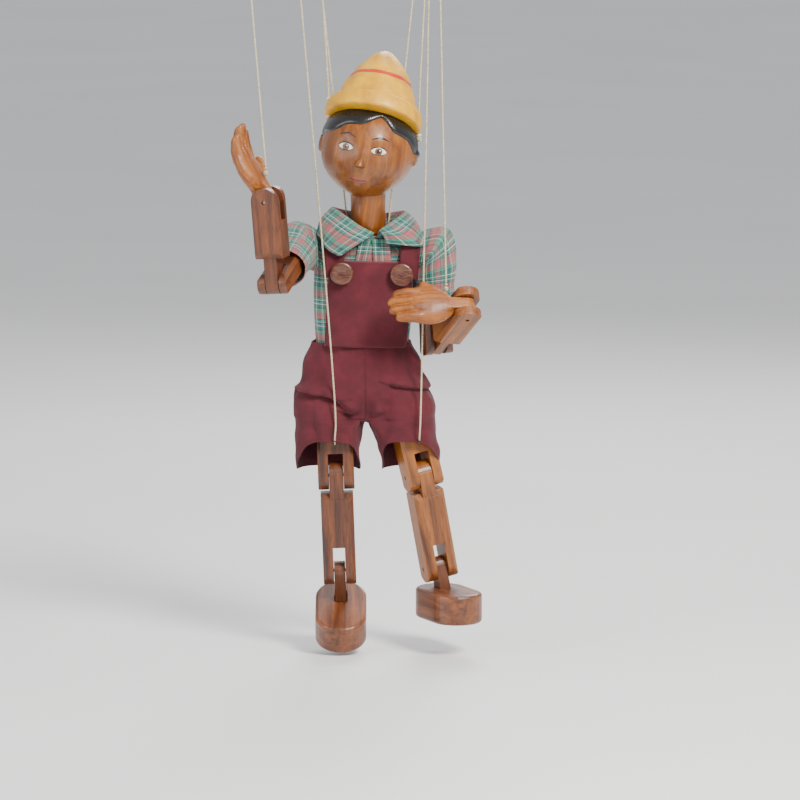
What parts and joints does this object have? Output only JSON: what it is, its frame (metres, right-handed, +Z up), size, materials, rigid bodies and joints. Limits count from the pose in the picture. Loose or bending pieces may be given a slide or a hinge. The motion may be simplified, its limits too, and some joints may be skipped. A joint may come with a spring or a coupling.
{
  "type": "marionette puppet",
  "caption": "Carved wooden string puppet with pinned joints, painted hat and cloth outfit, hung from looped strings that lift its head, hands, knees and shoulders.",
  "frame": {"origin": "point where the strings are held, midway between the hand loops of the two shoulder strings", "axes": "+Z up along the hanging body; the puppet faces -Y; +X is the puppet's left"},
  "size_m": [0.2139, 0.1966, 0.5848],
  "materials": {
    "limb_wood": "satin lacquered hardwood",
    "foot_wood": "oiled hardwood",
    "face_wood": "gloss lacquered wood",
    "hand_wood": "gloss lacquered wood",
    "core_wood": "bare softwood",
    "button_wood": "dark polished wood",
    "hat_paint": "yellow enamel paint on wood",
    "hair_paint": "black gloss paint on wood",
    "maroon_twill": "cotton twill",
    "plaid_cotton": "woven madras plaid cotton",
    "string_cotton": "twisted cotton string",
    "steel": "drawn wire"
  },
  "bodies": {
    "torso": {"torso_block": "core_wood", "shirt_body": "plaid_cotton", "shirt_collar": "plaid_cotton", "overall_bib": "maroon_twill", "shorts_seat": "maroon_twill", "button_right": "button_wood", "button_left": "button_wood", "shoulder_wire": "steel", "hip_wire": "steel", "shoulder_eye_right": "steel", "shoulder_eye_left": "steel", "right_shoulder_string": "string_cotton", "left_shoulder_string": "string_cotton"},
    "neck": {"neck_post": "steel"},
    "head": {"head": "face_wood", "hat": "hat_paint", "hair": "hair_paint", "nose": "face_wood", "neck_pin": "steel", "head_knot_right": "string_cotton", "head_knot_left": "string_cotton"},
    "head_string_right": {"right_head_string": "string_cotton"},
    "head_string_left": {"left_head_string": "string_cotton"},
    "upper_arm_right": {"upper_arm_right": "limb_wood", "sleeve_right": "plaid_cotton", "elbow_pin_right": "steel"},
    "forearm_right": {"forearm_right": "limb_wood", "wrist_pin_right": "steel"},
    "hand_right": {"hand_right": "hand_wood"},
    "hand_knot_right": {"hand_knot_right": "string_cotton"},
    "hand_tie_right": {"hand_tie_right": "string_cotton"},
    "hand_string_right": {"right_hand_string": "string_cotton"},
    "upper_arm_left": {"upper_arm_left": "limb_wood", "sleeve_left": "plaid_cotton", "elbow_pin_left": "steel"},
    "forearm_left": {"forearm_left": "limb_wood", "wrist_pin_left": "steel"},
    "hand_left": {"hand_left": "hand_wood"},
    "hand_knot_left": {"hand_knot_left": "string_cotton"},
    "hand_tie_left": {"hand_tie_left": "string_cotton"},
    "hand_string_left": {"left_hand_string": "string_cotton"},
    "thigh_right": {"thigh_right": "limb_wood", "shorts_leg_right": "maroon_twill", "knee_pin_right": "steel"},
    "shin_right": {"shin_right": "limb_wood", "ankle_pin_right": "steel"},
    "foot_right": {"foot_right": "foot_wood", "ankle_tongue_right": "limb_wood"},
    "knee_string_right": {"right_knee_string": "string_cotton"},
    "thigh_left": {"thigh_left": "limb_wood", "shorts_leg_left": "maroon_twill", "knee_pin_left": "steel"},
    "shin_left": {"shin_left": "limb_wood", "ankle_pin_left": "steel"},
    "foot_left": {"foot_left": "foot_wood", "ankle_tongue_left": "limb_wood"},
    "knee_string_left": {"left_knee_string": "string_cotton"}
  },
  "joints": [
    {"name": "neck_turn", "type": "hinge", "parent": "torso", "child": "neck", "pos_m": [0.00092, -0.1, -0.21353], "axis": [0.0227, 0, 0.9997], "range_deg": [-45, 45], "deforming": ["right_shoulder_string", "left_shoulder_string"]},
    {"name": "neck_nod", "type": "hinge", "parent": "neck", "child": "head", "pos_m": [0.00092, -0.1, -0.21353], "axis": [0.9997, 0, -0.0227], "range_deg": [-12, 15]},
    {"name": "head_string_hang_right", "type": "hinge", "parent": "head", "child": "head_string_right", "pos_m": [-0.03274, -0.097, -0.12533], "axis": [0.9997, 0, -0.0227], "range_deg": [-17, 14], "deforming": ["right_head_string"]},
    {"name": "head_string_hang_left", "type": "hinge", "parent": "head", "child": "head_string_left", "pos_m": [0.04414, -0.097, -0.14167], "axis": [0.9997, 0, -0.0227], "range_deg": [-17, 14], "deforming": ["left_head_string"]},
    {"name": "shoulder_swing_right", "type": "hinge", "parent": "torso", "child": "upper_arm_right", "pos_m": [-0.05492, -0.1, -0.22777], "axis": [0.9535, -0.2919, 0.0745], "range_deg": [-50, 50], "deforming": ["sleeve_right"]},
    {"name": "elbow_bend_right", "type": "hinge", "parent": "upper_arm_right", "child": "forearm_right", "pos_m": [-0.07726, -0.18023, -0.25621], "axis": [0.9535, -0.2919, 0.0745], "range_deg": [-12, 80]},
    {"name": "wrist_bend_right", "type": "hinge", "parent": "forearm_right", "child": "hand_right", "pos_m": [-0.08272, -0.18023, -0.18642], "axis": [-0.2911, -0.9564, -0.0227], "range_deg": [-40, 40]},
    {"name": "hand_knot_turn_right", "type": "hinge", "parent": "hand_right", "child": "hand_knot_right", "pos_m": [-0.08466, -0.1823, -0.16231], "axis": [-0.2911, -0.9564, -0.0227], "range_deg": [-42, 42], "deforming": ["hand_knot_right"]},
    {"name": "hand_tie_turn_right", "type": "hinge", "parent": "hand_knot_right", "child": "hand_tie_right", "pos_m": [-0.08466, -0.1823, -0.16231], "axis": [0.9535, -0.2919, 0.0745], "range_deg": [-82, 14], "deforming": ["hand_tie_right"]},
    {"name": "hand_string_hang_right", "type": "hinge", "parent": "hand_tie_right", "child": "hand_string_right", "pos_m": [-0.08466, -0.1823, -0.16231], "axis": [0.9535, -0.2919, 0.0745], "range_deg": [-52, 52], "deforming": ["right_hand_string"]},
    {"name": "shoulder_swing_left", "type": "hinge", "parent": "torso", "child": "upper_arm_left", "pos_m": [0.05605, -0.1, -0.23029], "axis": [0.8898, 0.4541, 0.0447], "range_deg": [-70, 5], "deforming": ["sleeve_left"]},
    {"name": "elbow_bend_left", "type": "hinge", "parent": "upper_arm_left", "child": "forearm_left", "pos_m": [0.05945, -0.098, -0.3182], "axis": [0.9312, 0.3351, -0.1434], "range_deg": [-2, 60]},
    {"name": "wrist_bend_left", "type": "hinge", "parent": "forearm_left", "child": "hand_left", "pos_m": [0.08437, -0.15065, -0.27938], "axis": [0.078, -0.5675, -0.8197], "range_deg": [-40, 8]},
    {"name": "hand_knot_turn_left", "type": "hinge", "parent": "hand_left", "child": "hand_knot_left", "pos_m": [0.06724, -0.14367, -0.2651], "axis": [0.078, -0.5675, -0.8197], "range_deg": [-10, 42], "deforming": ["hand_knot_left"]},
    {"name": "hand_tie_turn_left", "type": "hinge", "parent": "hand_knot_left", "child": "hand_tie_left", "pos_m": [0.06724, -0.14367, -0.2651], "axis": [0.9312, 0.3351, -0.1434], "range_deg": [-62, 4], "deforming": ["hand_tie_left"]},
    {"name": "hand_string_hang_left", "type": "hinge", "parent": "hand_tie_left", "child": "hand_string_left", "pos_m": [0.06724, -0.14367, -0.2651], "axis": [0.8898, 0.4541, 0.0447], "range_deg": [-7, 72], "deforming": ["left_hand_string"]},
    {"name": "hip_swing_right", "type": "hinge", "parent": "torso", "child": "thigh_right", "pos_m": [-0.02999, -0.1, -0.34136], "axis": [0.9994, 0, 0.0349], "range_deg": [-75, 15], "deforming": ["shorts_leg_right", "shorts_seat"]},
    {"name": "knee_bend_right", "type": "hinge", "parent": "thigh_right", "child": "shin_right", "pos_m": [-0.02685, -0.10314, -0.43125], "axis": [0.9994, 0, 0.0349], "range_deg": [-4, 85]},
    {"name": "ankle_rock_right", "type": "hinge", "parent": "shin_right", "child": "foot_right", "pos_m": [-0.02393, -0.09874, -0.51509], "axis": [0.9994, 0, 0.0349], "range_deg": [-45, 12]},
    {"name": "knee_string_hang_right", "type": "hinge", "parent": "thigh_right", "child": "knee_string_right", "pos_m": [-0.02785, -0.11566, -0.40282], "axis": [0.9994, 0, 0.0349], "range_deg": [-17, 77], "deforming": ["right_knee_string"]},
    {"name": "hip_swing_left", "type": "hinge", "parent": "torso", "child": "thigh_left", "pos_m": [0.02599, -0.1, -0.34264], "axis": [0.9192, 0.3345, 0.2079], "range_deg": [-75, 15], "deforming": ["shorts_leg_left"]},
    {"name": "knee_bend_left", "type": "hinge", "parent": "thigh_left", "child": "shin_left", "pos_m": [0.0467, -0.10247, -0.43019], "axis": [0.9192, 0.3345, 0.2079], "range_deg": [-8, 60]},
    {"name": "ankle_rock_left", "type": "hinge", "parent": "shin_left", "child": "foot_left", "pos_m": [0.06107, -0.09101, -0.51215], "axis": [0.9192, 0.3345, 0.2079], "range_deg": [-15, 35]},
    {"name": "knee_string_hang_left", "type": "hinge", "parent": "thigh_left", "child": "knee_string_left", "pos_m": [0.04457, -0.11442, -0.40157], "axis": [0.9192, 0.3345, 0.2079], "range_deg": [-17, 77], "deforming": ["left_knee_string"]}
  ],
  "couplings": [
    {"joint": "head_string_hang_right", "follows": "neck_nod", "ratio": -1},
    {"joint": "head_string_hang_left", "follows": "neck_nod", "ratio": -1},
    {"joint": "hand_knot_turn_right", "follows": "wrist_bend_right", "ratio": -1},
    {"joint": "hand_tie_turn_right", "follows": "elbow_bend_right", "ratio": -1},
    {"joint": "hand_string_hang_right", "follows": "shoulder_swing_right", "ratio": -1},
    {"joint": "hand_knot_turn_left", "follows": "wrist_bend_left", "ratio": -1},
    {"joint": "hand_tie_turn_left", "follows": "elbow_bend_left", "ratio": -1},
    {"joint": "hand_string_hang_left", "follows": "shoulder_swing_left", "ratio": -1},
    {"joint": "knee_string_hang_right", "follows": "hip_swing_right", "ratio": -1},
    {"joint": "knee_string_hang_left", "follows": "hip_swing_left", "ratio": -1}
  ]
}
